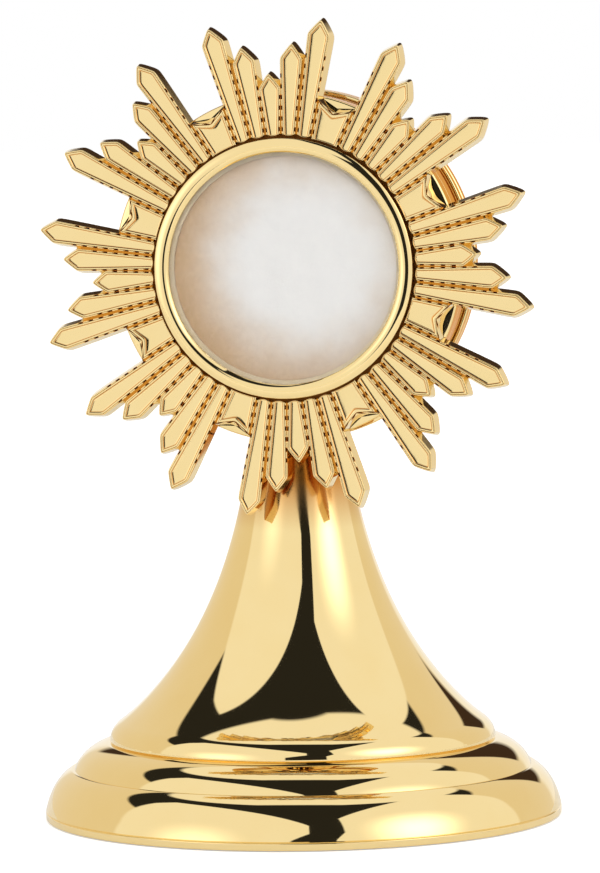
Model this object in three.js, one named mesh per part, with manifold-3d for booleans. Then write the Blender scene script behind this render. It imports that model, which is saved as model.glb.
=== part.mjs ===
// Table reliquary: a spun bell base on two steps, a round relic case on top of its neck,
// and a cast sunburst clamped to the case by the window bezel. The back of the case is a
// push-on cap. Millimetres, +Z up. The origin is the middle of the underside, and the
// window faces -Y.
import * as THREE from 'three';
import { mergeVertices } from 'three/addons/utils/BufferGeometryUtils.js';
import Module from 'manifold-3d';

const wasm = await Module();
wasm.setup();

// Clearances
const seatGap = 0.2; // between a piece and the face that it sits on
const cutGap = 0.3; // between a saddle and the round that it is cut to
const threadGap = 0.15; // between a thread and its nut or bore
const pressGap = 0.3; // round the base plate in its rim
const slideGap = 0.3; // between the cap and the spring band that grips it
const boreGap = 0.3; // round the bezel's tube in the plate and the case

// Base shell, from the floor up
const feltProud = 0.2; // felt standing below the metal lip
const lipHeight = 1.1;
const lipLine = 0.3; // width and depth of the line above the lip
const footHeight = 6.4;
const footWidth = 4.2;
const footLedge = 0.4;
const stepHeight = 4.2;
const stepWidth = 5.2;
const stepLedge = 0.5;
const arcFullness = 0.5; // how far the two rounds swell towards a square corner
const bellRadius = 30.5;
const bellEdgeHeight = 3.5; // rounded edge at the foot of the bell
const bellEdgeSet = 2.0; // how far that edge draws in
const bellHeight = 45.0; // from the foot of the bell to the top of the neck
const flareCore = 5.0; // radius that the flare tends to
const flareLength = 20.0; // height in which the flare falls to 1/e
const shellWall = 1.0;
const neckTopWall = 1.2;

// What the base holds
const feltThickness = 0.8;
const feltInset = 1.2;
const plateThickness = 0.8;
const weightInset = 3.8; // from the foot's top edge in to the weight's rim
const weightBossInset = 3.0; // from the bell's edge in to the weight's boss
const weightLift = 0.5; // above the base plate
const weightBossDraft = 0.5; // taper of the cast boss
const rodRadius = 2.0;
const rodEndInset = 0.4; // rod end above the weight's underside
const nutFlats = 7.0;
const nutHeight = 3.2;
const nutInset = 0.9; // nut above the weight's underside
const washerRadius = 4.8;
const washerThickness = 0.8;
const nutPocketGap = 1.2; // round the washer in the weight's pocket

// Neck saddle that carries the case
const saddleRise = 2.4; // from the neck's top to the underside of the case
const spigotStemRadius = 3.6;
const spigotStemLength = 9.0;
const rodEngagement = 8.0;

// Window stack, from the window out
const windowRadius = 18.0;
const glassOverlap = 0.6; // the bezel's lip over the glass
const tubeWall = 0.7;
const bezelFlange = 0.8; // from the tube out to the bezel's rim
const bezelLine = 1.1; // from the rim in to the line on the bezel
const bezelProud = 1.1; // crest above the sunburst's rims
const bezelSide = 0.5; // straight side of the bezel below its round
const bezelLipDrop = 0.35; // inner lip below the crest
const bezelLipDepth = 0.8; // lip thickness over the glass
const glassThickness = 1.2;
const gasketThickness = 0.7;
const gasketWidth = 0.9;
const padThickness = 4.6;
const padCrown = 0.7; // how far the pad swells towards the glass
const padDrawIn = 1.0; // how far its edges draw in
const backingThickness = 0.8;
const snapWire = 0.8;
const snapDepth = 0.3; // groove for the snap ring
const snapWidth = 1.5;
const snapEyeRadius = 1.3;
const snapOpening = 24; // degrees left open in the ring
const tubeTail = 0.7; // tube behind the snap ring's groove
const bezelNutWidth = 3.1;
const bezelNutThickness = 2.0;
const nutSlotWidth = 2.0;
const nutSlotDepth = 1.0;

// Case, from its bore out
const caseBoreGap = 1.6; // round the bezel nut
const spigotWall = 1.1; // under the band's groove
const bandGroove = 0.5;
const bandThickness = 0.6;
const bandWidth = 1.8;
const bandSetBack = 1.9; // from the case's shoulder back to the band's groove
const bandOpening = 10; // degrees left open in the band
const capWall = 1.5;
const capOverhang = 0.5; // cap's radius beyond the case's
const faceWall = 1.2;
const edgeRound = 1.3;
const faceLineInset = 0.1; // the turned line on the front face, from the edge round
const flangeLength = 4.7; // front face to the turned line on the side
const barrelLength = 9.6; // front face to the finger groove
const fingerGroove = 3.8;
const fingerGrooveDepth = 0.8;
const turnedLine = 0.3; // width and depth of the turned lines
const capLength = 6.4;
const capEndWall = 1.1;
const capEdgeRound = 0.8;
const capDome = 0.8;
const capEndGap = 0.3;

// Sunburst plate
const sunburstTurn = 3.75; // degrees anticlockwise, as it was clamped
const sunburstThickness = 2.8;
const sunburstLip = 1.2; // left under the bezel's flange
const bezelShadowGap = 0.55; // open ring round the bezel
const clusterCount = 8;
const rayPitch = 6.6; // degrees between rays of a cluster
const rayReaches = [18.1, 14.05, 9.5, 14.05, 18.1]; // from the plate's hole to each tip
const rayTip = 2.2;
const rayShoulderHalf = 1.57;
const rayRootHalf = 0.87;
const sideDraft = 0.65;
const tipDraft = 0.45;
const rimWidth = 0.4;
const rimTipWidth = 0.65;
const fieldDepth = 0.35;
const panelReach = 4.65;
const panelNotch = 1.0;
const panelOuterHalf = 2.4;
const panelRootHalf = 1.9;
const rayClearance = 0.4; // from the plate's back to the neck, at the lowest tip

// How finely rounds are divided
const baseSegments = 44;
const caseSegments = 44;
const cutSegments = 120; // of the rounds that the saddle is cut to
const roundSteps = 4;
const insideSteps = 2;
const flareSteps = 8;
const flareSpread = 1.25;
const insideFlareSteps = 4;
const eyeSteps = 5;
const smallSegments = 20;

// Heights of the base, worked out from the floor up
const lipBottomZ = feltProud;
const footBottomZ = lipBottomZ + lipHeight + lipLine;
const footTopZ = footBottomZ + footHeight;
const stepTopZ = footTopZ + stepHeight;
const bellFootZ = stepTopZ + lipLine;
const bellShoulderZ = bellFootZ + bellEdgeHeight;
const neckTopZ = bellFootZ + bellHeight;

// Radii of the base, worked out from the bell out
const bellShoulderRadius = bellRadius - bellEdgeSet;
const stepTopRadius = bellRadius + stepLedge;
const stepBottomRadius = stepTopRadius + stepWidth;
const footTopRadius = stepBottomRadius + footLedge;
const baseRadius = footTopRadius + footWidth;

// Radii of the head, worked out from the window out
const tubeBore = windowRadius + glassOverlap;
const tubeRadius = tubeBore + tubeWall;
const bezelRadius = tubeRadius + bezelFlange;
const bezelNutRadius = tubeRadius + bezelNutWidth;
const caseBore = bezelNutRadius + caseBoreGap;
const bandSeatRadius = caseBore + spigotWall;
const spigotRadius = bandSeatRadius + bandGroove;
const bandInner = bandSeatRadius + seatGap;
const bandOuter = bandInner + bandThickness;
const capBore = bandOuter + slideGap;
const capRadius = capBore + capWall;
const caseRadius = capRadius - capOverhang;
const caseOpening = tubeRadius + boreGap;
const plateHole = bezelRadius + bezelShadowGap;

// Height of the window's centre, and distances forward of the neck's axis
const headZ = neckTopZ + saddleRise + caseRadius;
const lowestTip = headZ - plateHole - Math.max(...rayReaches) - tipDraft;
const plateBackF = flareRadius(lowestTip) + rayClearance;
const caseFrontF = plateBackF - seatGap;
const plateFrontF = plateBackF + sunburstThickness;
const flangeBackF = plateBackF + sunburstLip + seatGap;
const bezelCrestF = plateFrontF + bezelProud;
const glassFrontF = bezelCrestF - bezelLipDrop - bezelLipDepth - seatGap;
const glassBackF = glassFrontF - glassThickness;
const gasketFrontF = glassBackF - seatGap;
const gasketBackF = gasketFrontF - gasketThickness;
const padRimF = gasketBackF - seatGap;
const padBackF = padRimF - padThickness;
const backingFrontF = padBackF - seatGap;
const backingBackF = backingFrontF - backingThickness;
const snapFrontF = backingBackF - seatGap;
const snapBackF = snapFrontF - snapWire;
const tubeBackF = snapBackF - seatGap - tubeTail;
const caseInnerF = caseFrontF - faceWall;
const barrelBackF = caseFrontF - barrelLength;
const shoulderF = barrelBackF - fingerGroove;
const capFrontF = shoulderF - seatGap;
const capBackF = capFrontF - capLength;
const capInnerF = capBackF + capEndWall;
const spigotEndF = capInnerF + capEndGap;
const bandGrooveFrontF = shoulderF - bandSetBack;
const bandFrontF = bandGrooveFrontF - seatGap;
const bandBackF = bandFrontF - bandWidth;
const bandGrooveBackF = bandBackF - seatGap;

const gold = { color: 0xe8c67c, roughness: 0.12, metalness: 1.0 };
const steel = { color: 0xb9bcbf, roughness: 0.35, metalness: 1.0 };
const brass = { color: 0xc9a24a, roughness: 0.3, metalness: 1.0 };
const castIron = { color: 0x3b3b3d, roughness: 0.8, metalness: 0.6 };
const glassLook = { color: 0xeef4f4, roughness: 0.05, metalness: 0.0 };
const rubberLook = { color: 0x2a2a2a, roughness: 0.8, metalness: 0.0 };
const padLook = { color: 0xe6e2da, roughness: 0.95, metalness: 0.0 };
const feltLook = { color: 0x2f4a33, roughness: 1.0, metalness: 0.0 };

// Radius of the bell and neck at a height: an exponential flare
function flareRadius(z) {
  const fall = Math.exp(-(z - bellShoulderZ) / flareLength);
  return flareCore + (bellShoulderRadius - flareCore) * fall;
}

function namedMesh(name, geometry, look) {
  const mesh = new THREE.Mesh(geometry, new THREE.MeshStandardMaterial(look));
  mesh.name = name;
  return mesh;
}

// A solid of revolution about Z from [radius, height] points that run anticlockwise
function turned(points, segments) {
  const profile = points.map(([radius, height]) => new THREE.Vector2(radius, height));
  const geometry = new THREE.LatheGeometry(profile, segments);
  geometry.rotateX(Math.PI / 2);
  return geometry;
}

// A ring of rectangular section about Z
function turnedRing(inner, outer, bottom, top, segments) {
  const section = [[inner, bottom], [outer, bottom], [outer, top], [inner, top], [inner, bottom]];
  return turned(section, segments);
}

function disc(radius, bottom, top, segments) {
  return turned([[0, bottom], [radius, bottom], [radius, top], [0, top]], segments);
}

// Points of a round between two [radius, height] ends, swelling towards the outer top corner
function convexRound(start, end, steps) {
  const middle = [(start[0] + end[0]) / 2, (start[1] + end[1]) / 2];
  const corner = [Math.max(start[0], end[0]), Math.max(start[1], end[1])];
  const pull = middle.map((value, axis) => value + (corner[axis] - value) * arcFullness);
  const curve = new THREE.QuadraticBezierCurve(
    new THREE.Vector2(...start), new THREE.Vector2(...pull), new THREE.Vector2(...end));
  return curve.getPoints(steps).map((point) => [point.x, point.y]);
}

// Points of an elliptical arc between two angles in degrees
function arcPoints(centre, radii, fromDegrees, toDegrees, steps) {
  const points = [];
  for (let step = 0; step <= steps; step += 1) {
    const angle = THREE.MathUtils.degToRad(fromDegrees + ((toDegrees - fromDegrees) * step) / steps);
    points.push([centre[0] + radii[0] * Math.cos(angle), centre[1] + radii[1] * Math.sin(angle)]);
  }
  return points;
}

// Height of a profile whose radius falls as it climbs, at a radius
function heightAtRadius(profile, radius) {
  const high = profile.findIndex(([here]) => here < radius);
  const [lowRadius, lowZ] = profile[high - 1];
  const [highRadius, highZ] = profile[high];
  return lowZ + ((highZ - lowZ) * (lowRadius - radius)) / (lowRadius - highRadius);
}

// Radius of such a profile at a height
function radiusAtHeight(profile, height) {
  const high = profile.findIndex(([, z]) => z > height);
  const [lowRadius, lowZ] = profile[high - 1];
  const [highRadius, highZ] = profile[high];
  return lowRadius + ((highRadius - lowRadius) * (height - lowZ)) / (highZ - lowZ);
}

function toSolid(geometry) {
  const plain = geometry.clone();
  plain.deleteAttribute('normal');
  plain.deleteAttribute('uv');
  const merged = mergeVertices(plain, 1e-4);
  const kept = [];
  const index = merged.index.array;
  for (let corner = 0; corner < index.length; corner += 3) {
    const [a, b, c] = [index[corner], index[corner + 1], index[corner + 2]];
    if (a !== b && b !== c && c !== a) kept.push(a, b, c);
  }
  return new wasm.Manifold(new wasm.Mesh({
    numProp: 3,
    vertProperties: new Float32Array(merged.attributes.position.array),
    triVerts: new Uint32Array(kept),
  }));
}

function toGeometry(solid) {
  const mesh = solid.getMesh();
  const geometry = new THREE.BufferGeometry();
  geometry.setAttribute('position', new THREE.BufferAttribute(mesh.vertProperties, 3));
  geometry.setIndex(new THREE.BufferAttribute(mesh.triVerts, 1));
  return geometry;
}

// A prism whose top outline may be smaller than its bottom one, so that its sides are drafted.
// Both outlines have the same number of points and run anticlockwise seen from above.
function draftedPrism(bottomOutline, topOutline, bottom, top) {
  const count = bottomOutline.length;
  const positions = [];
  bottomOutline.forEach((point) => positions.push(point.x, point.y, bottom));
  topOutline.forEach((point) => positions.push(point.x, point.y, top));
  const index = [];
  THREE.ShapeUtils.triangulateShape(bottomOutline, []).forEach(([a, b, c]) => index.push(a, c, b));
  THREE.ShapeUtils.triangulateShape(topOutline, []).forEach(([a, b, c]) => {
    index.push(a + count, b + count, c + count);
  });
  for (let corner = 0; corner < count; corner += 1) {
    const next = (corner + 1) % count;
    index.push(corner, next, next + count, corner, next + count, corner + count);
  }
  const geometry = new THREE.BufferGeometry();
  geometry.setAttribute('position', new THREE.Float32BufferAttribute(positions, 3));
  geometry.setIndex(index);
  return geometry;
}

// A flat C-shaped ring, open by an angle at the bottom, with an optional eye at each end
function splitRing(inner, outer, back, front, openDegrees, eyeRadius) {
  const half = THREE.MathUtils.degToRad(openDegrees / 2);
  const start = -Math.PI / 2 + half;
  const end = (3 * Math.PI) / 2 - half;
  const shape = new THREE.Shape();
  shape.absarc(0, 0, outer, start, end, false);
  shape.absarc(0, 0, inner, end, start, true);
  shape.closePath();
  const depth = front - back;
  const options = { depth, bevelEnabled: false, curveSegments: caseSegments / 2 };
  let ring = toSolid(new THREE.ExtrudeGeometry(shape, options));
  if (eyeRadius > 0) {
    [start, end].forEach((angle) => {
      const middle = outer - eyeRadius;
      const eye = new THREE.Shape();
      eye.absarc(middle * Math.cos(angle), middle * Math.sin(angle), eyeRadius, 0, 2 * Math.PI, false);
      ring = ring.add(toSolid(new THREE.ExtrudeGeometry(eye, { ...options, curveSegments: eyeSteps })));
    });
  }
  const geometry = toGeometry(ring);
  geometry.translate(0, 0, back);
  return geometry;
}

// Outside of the base, from the lip up to the top of the neck. The flare's points lie closer
// together near the bell's foot, where it curves most.
function shellOutside() {
  const foot = convexRound([baseRadius, footBottomZ], [footTopRadius, footTopZ], roundSteps);
  const step = convexRound([stepBottomRadius, footTopZ], [stepTopRadius, stepTopZ], roundSteps);
  const edge = new THREE.QuadraticBezierCurve(
    new THREE.Vector2(bellRadius, bellFootZ),
    new THREE.Vector2(bellRadius, bellShoulderZ - bellEdgeSet),
    new THREE.Vector2(bellShoulderRadius, bellShoulderZ));
  const points = [
    [baseRadius, lipBottomZ],
    [baseRadius, lipBottomZ + lipHeight],
    [baseRadius - lipLine, lipBottomZ + lipHeight + lipLine / 2],
    ...foot,
    ...step,
    [bellRadius - lipLine, stepTopZ],
    ...edge.getPoints(roundSteps - 1).map((point) => [point.x, point.y]),
  ];
  for (let step = 1; step <= flareSteps; step += 1) {
    const share = step / flareSteps;
    const z = bellShoulderZ + (neckTopZ - bellShoulderZ) * share ** flareSpread;
    points.push([flareRadius(z), z]);
  }
  return points;
}

// Inside of the shell: the outside's main points moved in and down by the wall
function shellInside() {
  const inside = [[baseRadius - shellWall, lipBottomZ]];
  const foot = convexRound([baseRadius, footBottomZ], [footTopRadius, footTopZ], insideSteps);
  const step = convexRound([stepBottomRadius, footTopZ], [stepTopRadius, stepTopZ], insideSteps);
  [...foot, ...step].forEach(([radius, z]) => inside.push([radius - shellWall, z - shellWall]));
  inside.push([bellRadius - shellWall, bellFootZ - shellWall]);
  inside.push([bellShoulderRadius - shellWall, bellShoulderZ - shellWall]);
  const top = neckTopZ - neckTopWall;
  for (let step = 1; step <= insideFlareSteps; step += 1) {
    const share = step / insideFlareSteps;
    const z = bellShoulderZ - shellWall + (top - bellShoulderZ + shellWall) * share;
    inside.push([flareRadius(z + shellWall) - shellWall, z]);
  }
  return inside.filter(([, z], order) => order === 0 || z > lipBottomZ);
}

function makeBaseShell() {
  const stemHole = spigotStemRadius + seatGap;
  const inside = shellInside().reverse();
  const profile = [
    ...shellOutside(),
    [stemHole, neckTopZ],
    [stemHole, neckTopZ - neckTopWall],
    ...inside,
    [baseRadius, lipBottomZ],
  ];
  return namedMesh('base_shell', turned(profile, baseSegments), gold);
}

function makeBaseFillings() {
  const inside = shellInside();
  const plateBottom = feltThickness + seatGap;
  const plateTop = plateBottom + plateThickness;
  const plateRadius = radiusAtHeight(inside, plateTop) - pressGap;
  const feltRadius = plateRadius - feltInset;
  const weightBottom = plateTop + weightLift;
  const weightRadius = footTopRadius - weightInset;
  const bossRadius = bellRadius - weightBossInset;
  const shoulderZ = heightAtRadius(inside, weightRadius) - cutGap;
  const bossZ = heightAtRadius(inside, bossRadius) - cutGap;
  const washerBottom = weightBottom + nutInset + nutHeight + seatGap;
  const washerTop = washerBottom + washerThickness;
  const pocketRadius = washerRadius + nutPocketGap;
  const pocketTop = washerTop + seatGap;
  const rodHole = rodRadius + cutGap;
  const weight = [
    [pocketRadius, weightBottom],
    [weightRadius, weightBottom],
    [weightRadius, shoulderZ],
    [bossRadius + weightBossDraft, shoulderZ],
    [bossRadius, bossZ],
    [rodHole, bossZ],
    [rodHole, pocketTop],
    [pocketRadius, pocketTop],
    [pocketRadius, weightBottom],
  ];
  const hexagon = new THREE.Shape();
  const nutCorner = nutFlats / Math.sqrt(3);
  for (let corner = 0; corner < 6; corner += 1) {
    const angle = (corner * Math.PI) / 3;
    const [x, y] = [nutCorner * Math.cos(angle), nutCorner * Math.sin(angle)];
    if (corner === 0) hexagon.moveTo(x, y);
    else hexagon.lineTo(x, y);
  }
  hexagon.closePath();
  const nutBore = new THREE.Path();
  nutBore.absarc(0, 0, rodRadius + threadGap, 0, 2 * Math.PI, true);
  hexagon.holes.push(nutBore);
  const nut = new THREE.ExtrudeGeometry(hexagon, {
    depth: nutHeight, bevelEnabled: false, curveSegments: smallSegments / 2,
  });
  nut.translate(0, 0, weightBottom + nutInset);
  const rodTop = neckTopZ - spigotStemLength + rodEngagement;
  const washer = turnedRing(rodRadius + cutGap, washerRadius, washerBottom, washerTop, smallSegments);
  return [
    namedMesh('base_felt', disc(feltRadius, 0, feltThickness, baseSegments), feltLook),
    namedMesh('base_plate', disc(plateRadius, plateBottom, plateTop, baseSegments), steel),
    namedMesh('base_weight', turned(weight, baseSegments), castIron),
    namedMesh('tie_rod', disc(rodRadius, weightBottom + rodEndInset, rodTop, smallSegments), steel),
    namedMesh('tie_washer', washer, steel),
    namedMesh('tie_nut', nut, steel),
  ];
}

// The turned saddle between neck and case: a stem that the rod screws into, and a collar that
// carries on the neck's flare and is cut to the case, and relieved behind for the cap
function makeNeckSaddle() {
  const seatRadius = caseRadius + cutGap;
  const collarTop = headZ - Math.sqrt(seatRadius ** 2 - flareRadius(neckTopZ) ** 2) + seatGap;
  const collarBottom = neckTopZ + seatGap;
  const stemBottom = neckTopZ - spigotStemLength;
  const borePocket = rodRadius + threadGap;
  const boreTop = stemBottom + rodEngagement + seatGap;
  const profile = [
    [borePocket, stemBottom],
    [spigotStemRadius, stemBottom],
    [spigotStemRadius, collarBottom],
    [flareRadius(collarBottom), collarBottom],
    [flareRadius(collarTop), collarTop],
    [0, collarTop],
    [0, boreTop],
    [borePocket, boreTop],
    [borePocket, stemBottom],
  ];
  const stem = toSolid(turned(profile, baseSegments));
  const caseReach = 2 * caseFrontF;
  const seat = new THREE.CylinderGeometry(seatRadius, seatRadius, 2 * caseReach, cutSegments);
  seat.translate(0, 0, headZ);
  const relief = new THREE.CylinderGeometry(
    capRadius + cutGap, capRadius + cutGap, caseReach, cutSegments);
  relief.translate(0, -shoulderF + caseReach / 2 - seatGap, headZ);
  const saddle = stem.subtract(toSolid(seat)).subtract(toSolid(relief));
  return namedMesh('neck_saddle', toGeometry(saddle), gold);
}

function makeCase() {
  const rimInset = turnedLine / 2;
  const sideLineF = caseFrontF - flangeLength;
  const faceLine = caseRadius - edgeRound - faceLineInset;
  const chamfer = turnedLine;
  const profile = [
    [caseBore, spigotEndF],
    [spigotRadius - chamfer, spigotEndF],
    [spigotRadius, spigotEndF + chamfer],
    [spigotRadius, bandGrooveBackF],
    [bandSeatRadius, bandGrooveBackF],
    [bandSeatRadius, bandGrooveFrontF],
    [spigotRadius, bandGrooveFrontF],
    [spigotRadius, shoulderF],
    [caseRadius - fingerGrooveDepth, shoulderF],
    [caseRadius - fingerGrooveDepth, barrelBackF],
    [caseRadius - chamfer, barrelBackF],
    [caseRadius, barrelBackF + chamfer],
    [caseRadius, sideLineF - rimInset],
    [caseRadius - turnedLine, sideLineF],
    [caseRadius, sideLineF + rimInset],
    ...arcPoints([caseRadius - edgeRound, caseFrontF - edgeRound], [edgeRound, edgeRound], 0, 90, 3),
    [faceLine + rimInset, caseFrontF],
    [faceLine, caseFrontF - rimInset],
    [faceLine - rimInset, caseFrontF],
    [caseOpening, caseFrontF],
    [caseOpening, caseInnerF],
    [caseBore, caseInnerF],
    [caseBore, spigotEndF],
  ];
  return namedMesh('capsule_body', turned(profile, caseSegments), gold);
}

function makeRearCap() {
  const chamfer = turnedLine;
  const domeSteps = 3;
  const faceEdge = capRadius - capEdgeRound;
  const dome = [];
  for (let step = 0; step < domeSteps; step += 1) {
    const share = step / domeSteps;
    dome.push([faceEdge * share, capBackF - capDome * (1 - share * share)]);
  }
  const round = arcPoints([faceEdge, capBackF + capEdgeRound], [capEdgeRound, capEdgeRound], -90, 0, 3);
  const lineF = (capBackF + capFrontF) / 2;
  const profile = [
    ...dome,
    ...round,
    [capRadius, lineF - turnedLine / 2],
    [capRadius - turnedLine, lineF],
    [capRadius, lineF + turnedLine / 2],
    [capRadius, capFrontF - chamfer],
    [capRadius - chamfer, capFrontF],
    [capBore, capFrontF],
    [capBore, capInnerF],
    [0, capInnerF],
  ];
  return namedMesh('rear_cap', turned(profile, caseSegments), gold);
}

function makeBezel() {
  const lineRadius = bezelRadius - bezelLine;
  const sideTop = flangeBackF + sunburstThickness - sunburstLip - seatGap + bezelSide;
  const bandCentre = (bezelRadius + lineRadius) / 2;
  const bandHalf = (bezelRadius - lineRadius) / 2;
  const lipF = bezelCrestF - bezelLipDrop;
  const lipRound = (lineRadius - windowRadius) / 4;
  const glassSeat = glassFrontF + seatGap;
  const profile = [
    [tubeBore, tubeBackF],
    [tubeRadius, tubeBackF],
    [tubeRadius, flangeBackF],
    [bezelRadius, flangeBackF],
    ...arcPoints([bandCentre, sideTop], [bandHalf, bezelCrestF - sideTop], 0, 150, 5),
    [lineRadius, lipF - lipRound],
    [lineRadius - lipRound, lipF],
    [windowRadius + lipRound, lipF],
    [windowRadius, lipF - lipRound],
    [windowRadius, glassSeat],
    [tubeBore, glassSeat],
    [tubeBore, snapFrontF + seatGap],
    [tubeBore + snapDepth, snapFrontF + seatGap],
    [tubeBore + snapDepth, snapBackF - seatGap],
    [tubeBore, snapBackF - seatGap],
    [tubeBore, tubeBackF],
  ];
  return namedMesh('bezel_ring', turned(profile, caseSegments), gold);
}

function makeBezelNut() {
  const nutFront = caseInnerF - seatGap;
  const nutBack = nutFront - bezelNutThickness;
  let nut = toSolid(turnedRing(tubeRadius + threadGap, bezelNutRadius, nutBack, nutFront, caseSegments));
  [-1, 1].forEach((side) => {
    const slot = new THREE.BoxGeometry(2 * bezelNutWidth, nutSlotWidth, 2 * nutSlotDepth);
    slot.translate(side * (bezelNutRadius + bezelNutWidth / 2), 0, nutBack);
    nut = nut.subtract(toSolid(slot));
  });
  return namedMesh('bezel_nut', toGeometry(nut), brass);
}

function makeWindowStack() {
  const stackRadius = tubeBore - seatGap;
  const glass = disc(stackRadius, glassBackF, glassFrontF, caseSegments);
  const gasketInner = stackRadius - gasketWidth;
  const gasket = turnedRing(gasketInner, stackRadius, gasketBackF, gasketFrontF, caseSegments);
  const backing = disc(stackRadius, backingBackF, backingFrontF, caseSegments);
  const snap = splitRing(
    tubeBore - snapWidth, tubeBore + snapDepth - seatGap / 2, snapBackF, snapFrontF, snapOpening,
    snapEyeRadius);
  return [
    namedMesh('window_glass', glass, glassLook),
    namedMesh('window_gasket', gasket, rubberLook),
    namedMesh('pad_backing', backing, brass),
    namedMesh('snap_ring', snap, steel),
  ];
}

// The soft pad: sides that bulge at the middle and draw in at both edges, and a crowned front
function makeRelicPad() {
  const padRadius = tubeBore - seatGap;
  const sideSteps = 6;
  const crownSteps = 6;
  const profile = [[0, padBackF]];
  for (let step = 0; step <= sideSteps; step += 1) {
    const share = step / sideSteps;
    const drawn = padDrawIn * (2 * share - 1) ** 2;
    profile.push([padRadius - drawn, padBackF + padThickness * share]);
  }
  const rimRadius = padRadius - padDrawIn;
  for (let step = 1; step < crownSteps; step += 1) {
    const share = 1 - step / crownSteps;
    profile.push([rimRadius * share, padRimF + padCrown * (1 - share ** 4)]);
  }
  profile.push([0, padRimF + padCrown]);
  return namedMesh('relic_pad', turned(profile, caseSegments), padLook);
}

function makeCapBand() {
  const band = splitRing(bandInner, bandOuter, bandBackF, bandFrontF, bandOpening, 0);
  return namedMesh('cap_band', band, steel);
}

// A ray's outline along +X, from inside the hole to the tip, grown or shrunk by two allowances
function rayOutline(reach, side, tip) {
  const rootX = plateHole - bezelShadowGap;
  const shoulderX = plateHole + reach - rayTip;
  return [
    new THREE.Vector2(rootX, -rayRootHalf - side),
    new THREE.Vector2(shoulderX, -rayShoulderHalf - side),
    new THREE.Vector2(plateHole + reach + tip, 0),
    new THREE.Vector2(shoulderX, rayShoulderHalf + side),
    new THREE.Vector2(rootX, rayRootHalf + side),
  ];
}

// A panel between two clusters, whose outer end has a notch
function panelOutline(side, end) {
  const rootX = plateHole - bezelShadowGap;
  const cornerX = plateHole + panelReach + end;
  return [
    new THREE.Vector2(rootX, -panelRootHalf - side),
    new THREE.Vector2(cornerX, -panelOuterHalf - side),
    new THREE.Vector2(cornerX - panelNotch, 0),
    new THREE.Vector2(cornerX, panelOuterHalf + side),
    new THREE.Vector2(rootX, panelRootHalf + side),
  ];
}

function turnedBy(outline, degrees) {
  const origin = new THREE.Vector2(0, 0);
  return outline.map((point) => point.clone().rotateAround(origin, THREE.MathUtils.degToRad(degrees)));
}

function makeSunburst() {
  const bodies = [];
  const fields = [];
  const fieldBottom = plateFrontF - fieldDepth;
  const fieldTop = plateFrontF + fieldDepth;
  const addArm = (outlineOf, degrees) => {
    const back = turnedBy(outlineOf(sideDraft, tipDraft), degrees);
    const front = turnedBy(outlineOf(0, 0), degrees);
    const field = turnedBy(outlineOf(-rimWidth, -rimTipWidth), degrees);
    bodies.push(toSolid(draftedPrism(back, front, plateBackF, plateFrontF)));
    fields.push(toSolid(draftedPrism(field, field, fieldBottom, fieldTop)));
  };
  for (let cluster = 0; cluster < clusterCount; cluster += 1) {
    const centre = (360 * cluster) / clusterCount;
    rayReaches.forEach((reach, order) => {
      const offset = (order - (rayReaches.length - 1) / 2) * rayPitch;
      addArm((side, tip) => rayOutline(reach, side, tip), centre + offset);
    });
    addArm(panelOutline, centre + 180 / clusterCount);
  }
  const throughHole = tubeRadius + boreGap;
  const lipTop = plateBackF + sunburstLip;
  const lipRing = turnedRing(throughHole, plateHole + rimWidth, plateBackF, lipTop, caseSegments);
  const rebate = disc(plateHole, lipTop, plateFrontF + sunburstThickness, caseSegments);
  const through = disc(throughHole, plateBackF - 1, lipTop + 1, caseSegments);
  let plate = wasm.Manifold.union([...bodies, toSolid(lipRing)]);
  plate = plate.subtract(wasm.Manifold.union(fields));
  plate = plate.subtract(toSolid(rebate)).subtract(toSolid(through));
  const mesh = namedMesh('sunburst_plate', toGeometry(plate), gold);
  mesh.rotation.z = THREE.MathUtils.degToRad(sunburstTurn);
  return mesh;
}

const reliquary = new THREE.Group();
reliquary.add(makeBaseShell(), ...makeBaseFillings(), makeNeckSaddle());

// In the head, x runs right, y up and z forward, out of the window
const head = new THREE.Group();
head.position.set(0, 0, headZ);
head.rotation.x = Math.PI / 2;
head.add(makeCase(), makeSunburst(), makeBezel(), makeBezelNut(), ...makeWindowStack());
head.add(makeRelicPad(), makeCapBand(), makeRearCap());
reliquary.add(head);

export default reliquary;
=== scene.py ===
import math

import bmesh
import bpy
import numpy as np
from mathutils import Matrix, Vector


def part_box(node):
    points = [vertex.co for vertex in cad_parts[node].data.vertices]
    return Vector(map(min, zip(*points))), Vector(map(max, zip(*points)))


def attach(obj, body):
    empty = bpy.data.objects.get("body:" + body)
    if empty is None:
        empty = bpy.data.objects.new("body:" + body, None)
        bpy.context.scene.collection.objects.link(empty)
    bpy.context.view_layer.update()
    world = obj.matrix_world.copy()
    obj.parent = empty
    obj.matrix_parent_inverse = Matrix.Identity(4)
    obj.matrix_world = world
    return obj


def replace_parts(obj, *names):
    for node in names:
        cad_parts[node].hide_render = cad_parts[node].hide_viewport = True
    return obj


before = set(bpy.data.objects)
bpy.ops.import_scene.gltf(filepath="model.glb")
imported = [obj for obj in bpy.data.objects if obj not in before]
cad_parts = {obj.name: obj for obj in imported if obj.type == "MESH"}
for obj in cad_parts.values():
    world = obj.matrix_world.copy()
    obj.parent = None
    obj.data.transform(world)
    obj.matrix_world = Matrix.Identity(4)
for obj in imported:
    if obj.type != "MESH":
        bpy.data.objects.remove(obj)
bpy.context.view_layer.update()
scene = bpy.context.scene

mm = 0.001
headZ = 87.1  # mm from the table to the axis of the relic case


# Camera at the photo's viewing angle: it stands on a circle round the object at an azimuth and a
# height, looks at the axis with a small pan and tilt, and is rolled about its own line of sight
camera = {
    "azimuth": 8.466, "distance": 845.2, "height": 120.4,
    "pan": -0.017, "tilt": -4.084, "roll": -0.843,
    "focalPixels": 5372.8, "framePixels": 873, "sensor": 36.0,
}


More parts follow.
